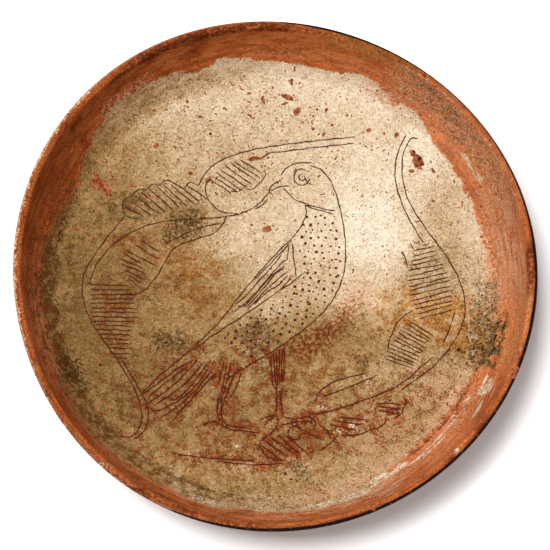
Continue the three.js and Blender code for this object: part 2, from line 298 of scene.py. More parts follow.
def leg_lines():
    left_trousers = [
        [(-26, -40), (-28.5, -51)],
        [(-24.5, -40), (-26, -50), (-29, -64)],
        [(-22, -40), (-24.5, -50), (-27, -60), (-27, -69)],
        [(-20, -44), (-23, -53), (-25.5, -60)],
        [(-17, -45), (-20, -54), (-24, -60)],
    ]
    right_tops = [(-1.5, -36), (0, -34), (1.5, -34), (3, -32), (4.5, -32), (5.8, -31)]
    right_ends = [(-0.5, -52), (1, -50), (2, -51), (3, -50), (4, -50), (5, -50)]
    return left_trousers + [list(pair) for pair in zip(right_tops, right_ends)] + [
        [(-28, -57), (-29.3, -62), (-29, -67), (-27.5, -70.5)],
        [(-26, -61), (-27, -65), (-26.5, -70)],
        [(1.5, -52), (1.5, -60), (1.5, -67.5)],
        [(4.5, -52), (3.8, -60), (5, -68)],
    ]


def foot_lines():
    return [
        [(-35.5, -73.5), (-34, -71.5), (-31, -71), (-28.5, -72)],
        [(-26, -71), (-24, -73), (-20, -74), (-14, -74.3)],
        [(-27, -73), (-23, -75), (-16, -76), (-8, -77)],
        [(-7, -70), (-3, -68.5), (1, -68), (2.2, -71), (1, -75), (-3, -78.5), (-7, -81.5)],
        [(-4.5, -73), (-3, -70.5), (0, -69.5)],
        [(6, -69), (12, -69.5), (18, -68.5), (21, -70), (21.5, -73), (20.5, -75)],
        [(4, -73), (10, -71.5), (18, -71), (20.5, -72.5)],
    ]


def ground_lines():
    """The leaf under the bird's foot, the curls beside it and the line of the ground."""
    return hatching(5, [(-6.5, -84), (-1, -80), (6, -78)], [(3, -91), (10, -88.5), (18, -89)]) + [
        [(-7, -84), (-5, -88), (0, -91), (5, -92)],
        arc((11, -77), 3.6, 20, 350),
        [(15, -77), (19, -78), (24, -80)],
        [(25, -73.5), (28, -76.5), (29, -79.5)],
        [(32, -80), (28, -84), (25, -86)],
        [(-53, -88), (-47, -89.3), (-40, -90), (-30, -91), (-20, -91.5), (-10, -92.5)],
        [(-30, -92.3), (-20, -93.5), (-10, -94.2), (-3, -94), (5, -93.5)],
    ]


def tendril_lines():
    beak_tendril = [(-2.5, 52), (-8.5, 45.5), (-17, 41), (-32, 38.3), (-50, 37), (-66, 33.8)]
    return [
        beak_tendril + [(-81, 25.5), (-92, 13), (-96.5, 1)],
        [(43, 81.2), (20, 79.3), (-8, 75.5), (-20, 72.3), (-29, 68.5), (-35, 63.5), (-39.8, 55.5)],
        [(42.5, 77.8), (20, 75.8), (4, 73.8), (-2.5, 73), (-7, 69.8)],
        [(-33, 60.5), (-36.2, 54.5), (-35, 49.5), (-32, 45), (-28, 42), (-18, 40.5)],
    ]


def stem_lines():
    left_upper = [(-78, 38.5), (-88, 25.5), (-98, 9), (-100, 0), (-98.5, -10), (-94.5, -19.5)]
    left_lower = [(-80, -41), (-70.5, -58), (-68, -70), (-70, -76.5), (-74, -80.3), (-79, -79.8)]
    right_upper = [(76.5, 79), (73, 79.5), (69, 73), (67.8, 63), (70.5, 48.5), (80, 31.5)]
    right_lower = [(91, 15.5), (98.5, -1), (99.5, -16), (93.5, -30), (84, -41.5), (66, -55)]
    return [
        left_upper + left_lower,
        [(-78.5, -39), (-70.5, -53), (-65, -65), (-66.5, -76.5), (-72, -81.5)],
        right_upper + right_lower,
        [(70, 81.8), (65.3, 71), (64.3, 58), (69, 42), (78.5, 24)],
        [(82.5, -37.5), (66, -51.5), (50, -58.7), (34, -64.3), (20, -67.5)],
        [(22, -60), (23, -56.5), (30, -50.5), (47, -45.5)],
        [(26, -57.5), (36, -54), (53, -47)],
    ]


def leaf_outlines():
    return [
        [(-79, 41), (-79.5, 45.5), (-74.5, 49.2)], [(-74.5, 49.5), (-70.5, 53), (-67.5, 52)],
        [(-67.5, 52.5), (-64, 55.7), (-60, 55)], [(-60.2, 55.5), (-56, 57.9), (-47, 53)],
        [(-47, 54), (-44, 57.3), (-40, 55.3)], [(-79, 40.5), (-77, 38.2), (-74, 37.2), (-71, 37)],
        [(-5, 64), (-4.2, 61.5), (-7, 57.5)], [(-6.5, 58), (-11, 54), (-14.5, 54)],
        [(-14.5, 55.5), (-19.5, 52.3), (-22.5, 53)],
        [(-24.5, 39.5), (-30, 31.3), (-43, 26), (-52, 22), (-62, 5.5), (-70, -2.7), (-80, -4.2)],
        [(-28.5, 35.5), (-41, 32), (-57, 24.5)], [(73, -12), (65.5, -17.5), (60.5, -28), (59.5, -34)],
        [(94.3, -14.5), (92, -21.5), (88.5, -30)],
        [(68, -59), (68.5, -62), (67, -64.5), (66.5, -66.5), (65, -68.5), (62, -70)],
        [(58, -70), (57.5, -72.5), (54, -75), (50, -75.5)],
        [(50, -75.5), (47, -77.5), (43, -78.5), (36, -78.5)], [(71.8, 24), (73.8, 20)],
        [(73.5, 25), (75, 23.5), (76.5, 25)], [(67.8, 18.8), (69.5, 15), (70.5, 11)],
    ]


def leaf_hatchings():
    """The strokes across each leaf, from its count of strokes and the guide lines at its sides."""
    leaves = [
        (8, [(-18, 70), (-29, 63.7), (-34.5, 59)], [(-6, 62.8), (-14, 55), (-22, 51.3)]),
        (10, [(-78.5, 43.5), (-65.5, 54), (-46, 56)], [(-68, 38), (-52, 42.5), (-35, 48)]),
        (6, [(-79, 18), (-81, 15), (-75, 4)], [(-69, 12.5), (-67, 7), (-71, 0.7)]),
        (3, [(-77, 20), (-69, 26)], [(-62, 12), (-60, 19.5)]),
        (13, [(-96, 0.8), (-95.5, -13), (-90, -27.5)], [(-76, 1), (-72, -12), (-75, -28)]),
        (4, [(-86, -30.5), (-84, -38)], [(-76, -30.5), (-76, -38)]),
        (15, [(73.5, 19.5), (70.5, 2), (76, -16.8)], [(83.5, 21.5), (92, 4), (93.5, -12.5)]),
        (12, [(70.5, -17.5), (61, -30), (58.5, -38)], [(83, -26.5), (76, -37), (72, -43.5)]),
        (3, [(54, -61.5), (55, -66)], [(66, -62.5), (65, -67.5)]),
        (3, [(35, -69), (30, -73)], [(48, -70.5), (42, -76)]),
    ]
    strokes = [stroke for leaf in leaves for stroke in hatching(*leaf)]
    return strokes + [[(78, 22.5), (82, 23.5)]]


def belly_dots():
    """Rows of pricked dots between the wing and the back, as (x, y, radius)."""
    wing_edge = smooth_line([(14.5, 39), (13, 22), (14.5, 8), (3, -4), (-14, -15), (-30, -27)], GUIDE_STEP)
    body_edge = smooth_line([(33, 39.5), (36, 22), (34.8, 6), (25, -11), (6, -26), (-14, -39)], GUIDE_STEP)
    dots = []
    for row in range(DOT_ROWS):
        share = (row + 0.2) / DOT_ROWS
        start = wing_edge[int(share * (len(wing_edge) - 1))]
        end = body_edge[int(share * (len(body_edge) - 1))]
        count = max(2, int(round(np.linalg.norm(end - start) / DOT_PITCH)))
        for i in range(count):
            along = (i + (0.35 if row % 2 else 0.75)) / count
            place = start + (end - start) * along + random.uniform(-DOT_JITTER, DOT_JITTER, 2)
            dots.append((*place, random.uniform(*DOT_RADII)))
    return dots


def pin_holes():
    """Small black holes burst in the slip, as (x, y, radius)."""
    return [
        (67.8, 18.8, 0.8), (62, 48.5, 0.55), (82, -5.2, 0.7), (66, -8.2, 0.5), (-1.3, 11.3, 0.6),
        (0.2, 8.3, 0.5), (-49, 7, 0.8), (-49, 4, 0.6), (-93, -19, 0.8), (-90, -42, 1.0),
        (-94.5, 40.3, 0.7), (-39, 92, 0.8), (-33.5, 83, 0.9), (21, 92.5, 0.7), (-62, 68, 0.6),
        (49, 76, 0.7), (52, 74, 0.6), (46, 77.5, 0.5), (-85, 88, 0.6), (96, -34, 1.3),
        (77, 69, 1.2), (74, 72.7, 0.9), (12.2, -2.4, 0.8), (32.8, 6.6, 0.8), (20.8, -1.3, 0.7),
        (17.9, -6.7, 0.8), (18, 8.6, 0.8), (6, -99, 1.0), (9, -102, 0.8), (12, -103, 0.7),
    ]


# Marks of age. Each flake is (x, y, length, width, turn in degrees).
FLAKES = [
    (-91.5, 54.5, 5.4, 3.2, -18), (-87.5, 51.0, 2.0, 3.4, 20), (-62, 76, 1.7, 1.1, 40),
    (-44, 62, 1.4, 1.1, 0), (-3.5, 32.5, 2.6, 1.7, 12), (-10.5, 70.2, 3.8, 1.2, 6),
    (76.3, 67.2, 2.9, 4.2, 20), (73.5, 72.0, 1.3, 2.0, 60), (65, 81.5, 1.5, 1.2, 0),
    (84, 46, 0.9, 0.8, 0), (69, 14, 1.0, 0.8, 0), (72.5, 62.5, 1.3, 1.1, 0), (84.2, 62.3, 1.5, 0.9, -55),
    (9.5, 110.5, 1.0, 1.7, 0), (7.5, 102.5, 4.0, 1.4, -25), (12.5, 95, 2.6, 1.8, 50),
    (-5.5, 101, 1.0, 2.6, 15), (5.5, 99, 2.0, 0.7, 10), (21, 86, 1.1, 0.9, 0), (50.5, 84.5, 1.2, 1.5, 20),
    (26.5, 83, 1.6, 0.8, 50), (-34.5, 58.5, 1.7, 1.2, 20), (-5, -96, 3.2, 2.2, 0),
    (18.5, -85.5, 3.2, 1.4, 55), (64, -71, 2.6, 0.9, 35), (-10, 30, 0.6, 0.5, 0),
    (28, 95.5, 1.4, 0.8, 70),
]

# Stains on the floor by kind, with painted shade in the patina and a painted sheen in one pale patch: (x, y,
# half length, half width, turn in degrees, strength)
FLOOR_STAINS = {
    # The floor's patina is aged slip, and toward the left and upper left also painted shade from the wall.
    "patina": [
        (0, 0, 400, 400, 0, 0.26), (-112, -18, 72, 92, 0, 0.95), (-30, 4, 22, 14, 0, 0.3),
        (-50, -62, 66, 40, -10, 0.62), (-72, 14, 34, 32, 0, 0.5), (10, -62, 80, 40, 0, 0.66),
        (8, -82, 24, 8, 0, 0.7), (-12, -108, 44, 12, -8, 0.45), (60, -86, 66, 32, 25, 0.42),
        (88, -22, 34, 36, 0, 0.35), (84, 48, 13, 18, 0, 0.35), (90, 12, 22, 26, 0, 0.3),
        (-90, 66, 38, 22, 40, 0.38), (-34, 62, 40, 24, 0, 0.25), (26, -26, 40, 16, 0, 0.7),
        (8, 4, 34, 14, 0, 0.25), (-40, -12, 22, 22, 30, 0.4), (-46, 35, 14, 11, 20, 0.65),
        (-10, 92, 34, 24, 0, 0.1),
    ],
    # The first pale patch, right of the bird's head, is partly a painted sheen.
    "pale": [(52, 34, 20, 28, 0, 0.9), (76, 66, 18, 22, -40, 0.65), (30, 104, 50, 12, 0, 0.3)],
    "olive": [
        (-74, 44, 24, 9, 0, 0.7), (-106, 8, 9, 34, 0, 0.55), (-70, -2, 16, 12, 0, 0.3),
        (-75, -62, 26, 18, -50, 0.5), (-5, -22, 14, 9, -30, 0.55), (0, -50, 18, 12, 0, 0.35),
        (84, 10, 15, 13, 0, 0.45), (45, -42, 18, 8, 0, 0.4), (-40, -108, 34, 7, -8, 0.55),
    ],
    "grey": [
        (-42, 38, 10, 8, 0, 0.85), (-52, 28, 9, 6, 30, 0.8), (-53, -28, 9, 8, 0, 0.95),
        (-70, 8, 7, 7, 0, 0.35), (-9, -27, 11, 10, 0, 0.75), (-3, -42, 10, 7, 0, 0.55),
        (84, 13, 8, 7, 0, 0.35), (103, -24, 9, 15, 30, 0.5), (93, -38, 14, 6, 10, 0.45),
        (46, -36, 9, 5, 0, 0.6), (-82, -60, 14, 8, -50, 0.35), (14, -99, 9, 4, -30, 0.8),
        (-104, -44, 4, 12, 25, 0.85),
    ],
    "ochre": [
        (-45, 8, 16, 20, 20, 0.75), (-78, 22, 18, 12, 0, 0.6), (88, -18, 26, 16, -10, 0.95),
        (106, -28, 14, 16, 20, 0.8), (62, -12, 24, 13, 0, 0.6), (30, -40, 28, 14, 0, 0.5),
        (0, -68, 46, 26, 0, 0.3), (-32, -14, 20, 10, 40, 0.5), (-45, -90, 30, 10, -12, 0.45),
        (24, -93, 10, 6, 0, 0.5),
    ],
    "rust": [
        (26, -24, 17, 8, 20, 0.85), (15, -34, 12, 8, 10, 0.6), (38, -12, 8, 9, 40, 0.5),
        (-84, -10, 17, 12, 0, 0.3), (-30, -38, 16, 9, -20, 0.25), (-25, -56, 12, 16, 0, 0.2),
        (5, -74, 24, 7, 0, 0.35), (-48, -66, 22, 10, 30, 0.35), (-20, -93, 42, 7, 0, 0.4),
        (45, -66, 22, 10, 15, 0.25), (-74, -42, 14, 6, -45, 0.4),
    ],
    "pink": [
        (8, 2, 22, 14, 0, 0.35), (45, -2, 13, 10, 0, 0.6), (60, -75, 34, 16, 35, 0.4),
        (90, -55, 16, 16, 0, 0.4), (112, 10, 8, 30, 0, 0.4), (-20, 26, 10, 10, 0, 0.25),
    ],
    "worn": [
        (-30, -66, 60, 30, 0, 0.8), (20, -78, 60, 18, 10, 0.95), (-12, -40, 30, 12, 0, 0.8),
        (70, -62, 26, 16, 0, 0.6), (-80, -20, 30, 34, 0, 0.36), (-75, 8, 22, 18, 0, 0.15),
        (0, 92, 36, 20, 0, 0.3), (10, 8, 16, 12, 0, 0.25), (-20, -40, 30, 18, 0, 0.65),
        (80, -60, 26, 20, 0, 0.4),
    ],
    "flecked": [
        (-8, 92, 70, 26, 0, 0.9), (-78, 62, 30, 34, 30, 0.8), (-60, 20, 46, 30, 0, 0.6),
        (30, 50, 60, 30, 0, 0.4),
    ],
    "white": [
        (40, -76, 6, 2.2, 0, 0.8), (63, -64, 4, 1.6, -10, 0.6), (24, -63, 4, 1.6, 20, 0.6),
        (-17, -83, 5, 1.6, -20, 0.5),
    ],
    "dark": [(18.5, -85.5, 3, 1.2, 55, 0.9), (-2, -79, 4, 2, 0, 0.4)],
}

# Stains and painted shade on the wall by kind: (from angle, to angle, from climb, to climb, strength), where
# the climb is measured along the inside from the crease, less than 0 on the floor and over 44 outside the
# lip
WALL_STAINS = {
    # Dark on the wall is painted shade where the lip and the outside below it turn away from the lamp, and
    # at the left crease; along the top wall below the lip it darkens the clay.
    "dark": [
        (84, 128, 35, 41.5, 0.75), (100, 130, 32, 38, 0.3), (128, 180, 30, 39, 0.1),
        (232, 270, 37, 43, 0.5), (266, 345, 37, 42, 0.3), (54, 84, 38, 43, 0.55), (4, 54, 38.5, 43, 0.35),
        (200, 240, 42, 50, 0.9), (148, 190, -3, 14, 0.45), (354, 366, 33, 43, 0.6),
    ],
    "grey": [
        # The bands with a climb near 0 at the left and lower left make the crease darker.
        (200, 212, -3, 3, 0.5), (226, 272, -2.2, 0.8, 0.6), (262, 290, -5, -1.5, 0.3),
        (166, 205, 5, 30, 0.4), (204, 232, 4, 17, 0.3), (40, 54, 19, 38, 0.45), (28, 38, 12, 24, 0.4),
        (337, 352, -7, 14, 0.8), (348, 362, -10, 4, 0.6),
    ],
    "olive": [
        # The olive at 92 to 162 degrees is painted shade on the upper left wall.
        (164, 245, -0.5, 9, 0.7), (168, 204, 2, 20, 0.4), (92, 162, -1, 16, 0.15), (232, 276, -3, 4, 0.2),
        (22, 60, 12, 40, 0.4),
    ],
    "rust": [
        # The rust at 104 to 162 degrees is painted shade on the upper left wall.
        (104, 162, -1, 16, 0.22), (305, 341, -1.4, 1.2, 0.7), (308, 318, -2.6, -0.3, 0.6),
        (12, 48, 0, 5.5, 0.4),
    ],
    # On the wall, patina is painted shade on the slip of the upper left wall and its crease, which face away
    # from the lamp.
    "patina": [(100, 160, -3, 7, 0.45), (112, 160, 6, 20, 0.35), (90, 118, 6, 18, 0.15)],
    "ochre": [
        (54, 78, 31, 43, 0.85), (66, 76, 23, 34, 0.5), (338, 358, 16, 41, 0.5), (26, 36, 7, 17, 0.6),
        (12, 24, 4, 15, 0.35), (200, 218, 2, 9, 0.5),
    ],
    "pink": [
        (338, 360, 16, 40, 0.6), (350, 388, -2, 40, 0.4), (14, 62, 3, 42, 0.6), (56, 66, 2, 12, 0.7),
        (120, 136, 14, 24, 0.6), (66, 100, 11, 23, 0.35), (176, 232, 8, 24, 0.2), (270, 335, -6, 12, 0.5),
    ],
    "streak": [
        (205, 262, 5, 26, 0.4), (262, 300, -1, 24, 0.55), (290, 338, 0, 29, 0.5), (-8, 24, -1, 34, 0.6),
        (24, 50, 1, 35, 0.35), (64, 92, 12, 27, 0.3), (160, 205, 8, 39, 0.4),
    ],
    "white": [
        (278, 296, 4, 10, 0.5), (295, 306, 0.5, 5, 0.7), (302, 318, 3.5, 8, 0.65), (315, 330, 2, 5, 0.6),
        (331, 336.5, 7, 19, 0.8), (324, 330, 15.5, 19.5, 0.9), (313.4, 315.2, 38, 41, 1.0),
        (296, 299, 24, 38, 0.5), (26, 35, 8.5, 13.5, 0.8), (228.6, 230.6, 41, 45, 1.0),
        (248, 256, 4, 13, 0.5),
    ],
    "worn": [(166, 205, 1, 28, 0.6), (205, 300, -2, 30, 0.35)],
    # A painted highlight along the lip and upper wall at the left, toward the lamp, and pale specks on the
    # upper right wall.
    "lit": [
        (128, 205, 40.8, 46, 0.85), (200, 240, 42, 46, 0.6), (205, 250, 32, 40, 0.3),
        (14, 66, 12, 41, 0.55),
    ],
}

# Where the slip ends on the wall: angle in degrees, climb, and how wide its edge fades
SLIP_EDGE = [
    (0, 0.5, 9), (8, -1, 5), (16, -1.4, 2.5), (25, -0.7, 2), (33, 0, 2), (40, 1, 1.6), (45, 3, 1.6),
    (48, 6.5, 1.6), (52, 9, 1.6), (54.5, 7.5, 2), (57, 5.3, 4), (60, 8.7, 4), (63, 11, 2),
    (66, 12.7, 1.6), (70, 11, 1.6), (72, 9, 1.4), (78, 7.5, 1.4), (84, 8.2, 1.4), (90, 9, 1.4),
    (94, 9.5, 1.4), (98, 13, 1.4), (104, 13.7, 1.4), (106, 10.6, 1.4), (109, 8.6, 1.4), (112, 9.7, 1.4),
    (113.6, 13.7, 1.4), (118, 14.6, 1.6), (125, 16, 3), (131.5, 18, 4), (135, 15.7, 2), (136, 13, 1.4),
    (140, 12.7, 1.4), (142, 9, 1.4), (146.5, 6.8, 1.4), (148, 4, 1.6), (151, 2.7, 3), (156, 2, 5),
    (164, 3.7, 9), (172, 7, 12), (184, 10.5, 13), (196, 10.5, 12), (206, 15, 11), (220, 16, 10),
    (234, 12.6, 8), (243, 8.7, 7), (250, 12.7, 5), (256, 11.6, 5), (264, 8.4, 4), (272, 9.8, 2.5),
    (280, 10.6, 1.6), (290, 10, 1.8), (297, 5, 4), (304, 0, 3), (316, -1, 2.5), (330, -1.4, 2.5),
    (338, -0.8, 5), (350, 1.3, 9), (360, 0.5, 9),
]

# How light the wall is round the dish, the clay's tone with painted light and shade, darkest at the upper
# left and lightest at the lower right: angle in degrees, and brightness
WALL_TONE_AND_LIGHT = [
    (0, 1.6), (20, 1.5), (40, 1.75), (60, 1.45), (80, 1.4), (100, 1.25), (120, 1.15), (140, 1.2),
    (155, 1.05), (175, 1.35), (195, 1.75), (215, 1.35), (230, 1.6), (245, 1.4), (260, 1.6), (285, 1.6),
    (300, 1.6), (317, 1.95), (330, 1.5), (345, 2.1), (360, 1.7),
]

# Where the painted shade line round the lip starts, on the side turned away from the lamp: angle in degrees,
# and climb
LIP_SHADE_LINE = [
    (0, 40.9), (12, 41.3), (35, 41.8), (50, 41.7), (65, 41.2), (78, 40.8), (88, 41.4), (100, 50),
    (238, 50), (248, 42.2), (258, 41.6), (270, 41.1), (285, 41), (300, 41.2), (330, 41.2), (350, 40.9),
    (360, 41.2),
]

# Chips in the rim and one burst in the slip: (x, y, z, radius, depth)
CHIPS = [
    (-83.5, -101.8, 60.6, 3.4, 1.7), (78.6, 103.8, 61.0, 2.6, 1.3), (122.0, -53.3, 60.6, 4.2, 1.3),
    (-131.2, 9.4, 60.6, 2.4, 0.9), (49.5, -121.5, 60.6, 2.8, 1.0), (-125.5, 38.5, 60.6, 2.2, 0.6),
    (76.5, 67.5, 24.6, 3.4, 1.3),
]

KINDS = sorted({*FLOOR_STAINS, *WALL_STAINS})

# How many waves make up soft bumps, how strongly they add up, and how far they shift the stains
WAVES = 9
WAVE_GAIN = 1.6
FLOOR_WANDER = 3.2
ANGLE_WANDER = 0.012
CLIMB_WANDER = 0.9


def smooth_step(low, high, value):
    share = np.clip((value - low) / (high - low), 0, 1)
    return share * share * (3 - 2 * share)


def ripples(x, y, pitch, seed):
    """A smooth field of soft bumps from -1 to 1, about one pitch apart."""
    waves = np.random.default_rng(seed)
    total = np.zeros_like(x)
    for _ in range(WAVES):
        turn = waves.uniform(0, 2 * math.pi)
        reach = 2 * math.pi / (pitch * waves.uniform(0.8, 2.2))
        total += np.sin((x * math.cos(turn) + y * math.sin(turn)) * reach + waves.uniform(0, 2 * math.pi))
    return total / WAVES * WAVE_GAIN


def turned(x, y, middle_x, middle_y, turn):
    """How far each place is from a middle, along and across a direction given in degrees."""
    cos, sin = math.cos(math.radians(turn)), math.sin(math.radians(turn))
    along = (x - middle_x) * cos + (y - middle_y) * sin
    across = (y - middle_y) * cos - (x - middle_x) * sin
    return along, across


def floor_stain(x, y, middle_x, middle_y, length, width, turn):
    along, across = turned(x, y, middle_x, middle_y, turn)
    return np.exp(-0.9 * ((along / length) ** 2 + (across / width) ** 2) ** 1.3)


def wall_stain(angle, climb, from_angle, to_angle, from_climb, to_climb):
    middle = (from_angle + to_angle) / 2
    off_angle = np.abs((np.degrees(angle) - middle + 180) % 360 - 180) / (to_angle - from_angle) * 2
    off_climb = np.abs(climb - (from_climb + to_climb) / 2) / (to_climb - from_climb) * 2
    return smooth_step(1.35, 0.65, off_angle) * smooth_step(1.4, 0.6, off_climb)


def stain_fields(x, y, angle, climb):
    """How strongly each kind of stain lies at each place, from 0 to 1."""
    wavy_x = x + FLOOR_WANDER * ripples(x, y, 16, 3)
    wavy_y = y + FLOOR_WANDER * ripples(x, y, 16, 4)
    wavy_angle = angle + ANGLE_WANDER * ripples(x, y, 12, 5)
    wavy_climb = climb + CLIMB_WANDER * ripples(x, y, 9, 6)
    clear = {kind: np.ones_like(x) for kind in KINDS}
    for kind, stains in FLOOR_STAINS.items():
        for *place, strength in stains:
            clear[kind] *= 1 - strength * floor_stain(wavy_x, wavy_y, *place)
    for kind, stains in WALL_STAINS.items():
        for *place, strength in stains:
            clear[kind] *= 1 - strength * wall_stain(wavy_angle, wavy_climb, *place)
    return {kind: 1 - left for kind, left in clear.items()}


def round_the_wall(table, angle):
    """Each column of a table of angles, read at the given angles."""
    angles, *columns = zip(*table)
    return [np.interp(np.degrees(angle) % 360, angles, column) for column in columns]


def slip_field(angle, climb):
    """Half at the slip's edge, more inside it and less on the clay; and how softly the edge fades."""
    edge, width = round_the_wall(SLIP_EDGE, angle)
    return np.clip(0.5 + (edge - climb) / width * 0.5, 0, 1), smooth_step(3.5, 8, width)


def wall_tone_and_light(angle, climb):
    """How light the clay is, with painted light and shade: as the table says on the wall, and 1 on the lip.
    """
    (tone_and_light,) = round_the_wall(WALL_TONE_AND_LIGHT, angle)
    return 1 + (tone_and_light - 1) * smooth_step(41.5, 37.5, climb)


def lip_shade_line(angle, climb):
    """The painted shade along the top of the lip where it turns away from the lamp, which ends where the
    outside starts.
    """
    (start,) = round_the_wall(LIP_SHADE_LINE, angle)
    return smooth_step(-0.5, 0.5, climb - start) * smooth_step(48, 45, climb)


def flake_field(x, y):
    """Over half where the slip has flaked off, with a ragged outline."""
    deepest = np.zeros_like(x)
    ragged = 0.22 * ripples(x, y, 1.6, 11)
    for middle_x, middle_y, length, width, turn in FLAKES:
        along, across = turned(x, y, middle_x, middle_y, turn)
        away = np.hypot(along / length, across / width)
        deepest = np.maximum(deepest, 1 - 0.5 * away + ragged * (away < 2))
    return np.clip(deepest, 0, 1)


# The mesh

class Strokes:
    """Every cut line as close samples, found again by place."""

    def __init__(self, groups):
        places, sides, half_widths, ends = [], [], [], []
        for points in groups:
            line = smooth_line(points, STROKE_STEP)
            run = np.linspace(0, 1, len(line)) * STROKE_STEP * (len(line) - 1)
            along = np.gradient(line, axis=0)
            along /= np.linalg.norm(along, axis=1)[:, None] + 1e-9
            side = np.stack([-along[:, 1], along[:, 0]], 1)
            wobble = LINE_WOBBLE * np.sin(run * random.uniform(0.5, 0.8) + random.uniform(0, 6))
            line = line + side * wobble[:, None]
            taper = np.clip((np.minimum(run, run[-1] - run) + 0.5) / LINE_TAPER, THINNEST_TAPER, 1)
            swell = LINE_SWELL * np.sin(run * 0.4 + random.uniform(0, 6))
            pressure = 1 + swell + random.normal(0, LINE_TREMOR, len(run))
            places.append(line)
            sides.append(side)
            half_widths.append(np.maximum(LINE_HALF_WIDTH * taper * pressure, NARROWEST_HALF))
            ends += [line[0] - along[0] * END_REACH, line[-1] + along[-1] * END_REACH]
        self.places = np.vstack(places)
        self.sides = np.vstack(sides)
        self.half_widths = np.concatenate(half_widths)
        self.ends = np.array(ends)

    def rows(self):
        """The middle and both edges of the strokes, and a place just past each end."""
        offset = self.sides * self.half_widths[:, None]
        return [self.places, self.places + offset, self.places - offset, self.ends]


def tree_of(points):
    tree = kdtree.KDTree(len(points))
    for i, (x, y) in enumerate(points):
        tree.insert((x, y, 0), i)
    tree.balance()
    return tree


def ring_points(x, y, radius, count):
    turns = np.linspace(0, 2 * math.pi, count, endpoint=False)
    return np.stack([x + radius * np.cos(turns), y + radius * np.sin(turns)], 1)


def background_points(stroke_tree):
    """A slightly uneven net over the floor, open where strokes already have their points."""
    reach = CREASE[0] - NET_MARGIN
    rows = np.arange(-reach, reach, FLOOR_STEP * ROW_SPACING)
    points = []
    for i, y in enumerate(rows):
        xs = np.arange(-reach, reach, FLOOR_STEP) + (FLOOR_STEP / 2 if i % 2 else 0)
        points.append(np.stack([xs, np.full_like(xs, y)], 1))
    points = np.vstack(points)
    points += random.uniform(-NET_JITTER, NET_JITTER, points.shape) * FLOOR_STEP
    points = points[np.hypot(points[:, 0], points[:, 1]) < reach]
    away = [stroke_tree.find((x, y, 0))[2] > ROOM_BESIDE_STROKES for x, y in points]
    return points[np.array(away)]


def spread_out(groups, gap):
    """The points of all groups, earlier ones first, without those closer than gap to a kept one."""
    cells = {}
    kept = []
    for x, y in np.vstack(groups).tolist():
        column, row = int(math.floor(x / gap)), int(math.floor(y / gap))
        near = (cells.get((column + i, row + j)) for i in (-1, 0, 1) for j in (-1, 0, 1))
        if any(p is not None and (p[0] - x) ** 2 + (p[1] - y) ** 2 < gap * gap for p in near):
            continue
        cells[(column, row)] = (x, y)
        kept.append((x, y))
    return kept


def groove_depths(points, strokes, stroke_tree, dots):
    """How deep each point lies in a cut, from 0 to 1, and its distance from the nearest stroke."""
    depth = np.zeros(len(points))
    distance = np.zeros(len(points))
    for i, (x, y) in enumerate(points):
        _, nearest, away = stroke_tree.find((x, y, 0))
        distance[i] = away
        depth[i] = max(0.0, 1 - away / strokes.half_widths[nearest])
    points = np.array(points)
    for x, y, radius in dots:
        away = np.hypot(points[:, 0] - x, points[:, 1] - y)
        depth = np.maximum(depth, np.clip(DOT_EDGE - away / radius, 0, 1))
    return depth, distance


def ring_of(radius, height, sides):
    angle = np.arange(sides) * 2 * math.pi / sides
    out = warped(radius, angle)
    return np.stack([out * np.cos(angle), out * np.sin(angle), np.full(sides, height)], 1)


def join_rings(first, first_count, second, second_count):
    """Faces between two rings of vertices, given by their first index, with equal or doubled sides."""
    if first_count == second_count:
        ahead = np.roll(np.arange(first_count), -1)
        return [(first + i, first + j, second + j, second + i) for i, j in enumerate(ahead.tolist())]
    faces = []
    for i in range(first_count):
        j = (i + 1) % first_count
        a, b, c = 2 * i, 2 * i + 1, (2 * i + 2) % second_count
        faces.append((first + i, first + j, second + b))
        faces.append((first + i, second + b, second + a))
        faces.append((first + j, second + c, second + b))
    return faces


class Dish:
    """The vertices and faces of the whole dish, in millimetres."""

    def __init__(self):
        self.vertices = [np.array([[0, 0, FOOT_RECESS]])]
        self.climb = [np.zeros(1)]
        self.inside = [np.zeros(1)]
        self.faces = []
        self.count = 1

    def add(self, vertices, climb, inside):
        first = self.count
        self.vertices.append(vertices)
        self.climb.append(np.broadcast_to(climb, len(vertices)))
        self.inside.append(np.broadcast_to(float(inside), len(vertices)))
        self.count += len(vertices)
        return first

    def turn(self, profile_parts):
        """Adds the turned form ring by ring and returns the first vertex of the last one."""
        before = None
        outline = np.array([point for points, _, _ in profile_parts for point in points])
        run = run_along(outline)
        climbs = iter(run[-1] - run)
        for points, sides, inside in profile_parts:
            for radius, height in points:
                first = self.add(ring_of(radius, height, sides), next(climbs), inside)
                if before is None:
                    self.faces += [(0, first + (i + 1) % sides, first + i) for i in range(sides)]
                else:
                    self.faces += join_rings(*before, first, sides)
                before = (first, sides)
        return before[0]

    def add_floor(self, rim_first, points):
        """Triangulates the floor between the ring of the crease and the points inside it."""
        rim = self.vertices[-1][:, :2]
        rim_count = len(rim)
        all_points = [Vector(p) for p in rim.tolist()] + [Vector(p) for p in points]
        places, _, faces, origins, _, _ = delaunay_2d_cdt(all_points, [], [], 0, 1e-5)
        place = np.array([tuple(p) for p in places])
        at_rim = np.array([origin[0] < rim_count if origin else False for origin in origins])
        index = np.zeros(len(place), int)
        index[at_rim] = [rim_first + origin[0] for origin, edge in zip(origins, at_rim) if edge]
        free = place[~at_rim]
        angle = np.arctan2(free[:, 1], free[:, 0])
        radius = np.hypot(free[:, 0], free[:, 1])
        nominal = radius - warp(angle) * (radius / RIM_RADIUS) ** 3
        heights = floor_height(nominal)
        first = self.add(np.column_stack([free, heights]), nominal - CREASE[0], 1)
        index[~at_rim] = first + np.arange(len(free))
        for a, b, c in faces:
            self.faces.append((int(index[a]), int(index[b]), int(index[c])))
        return first, free


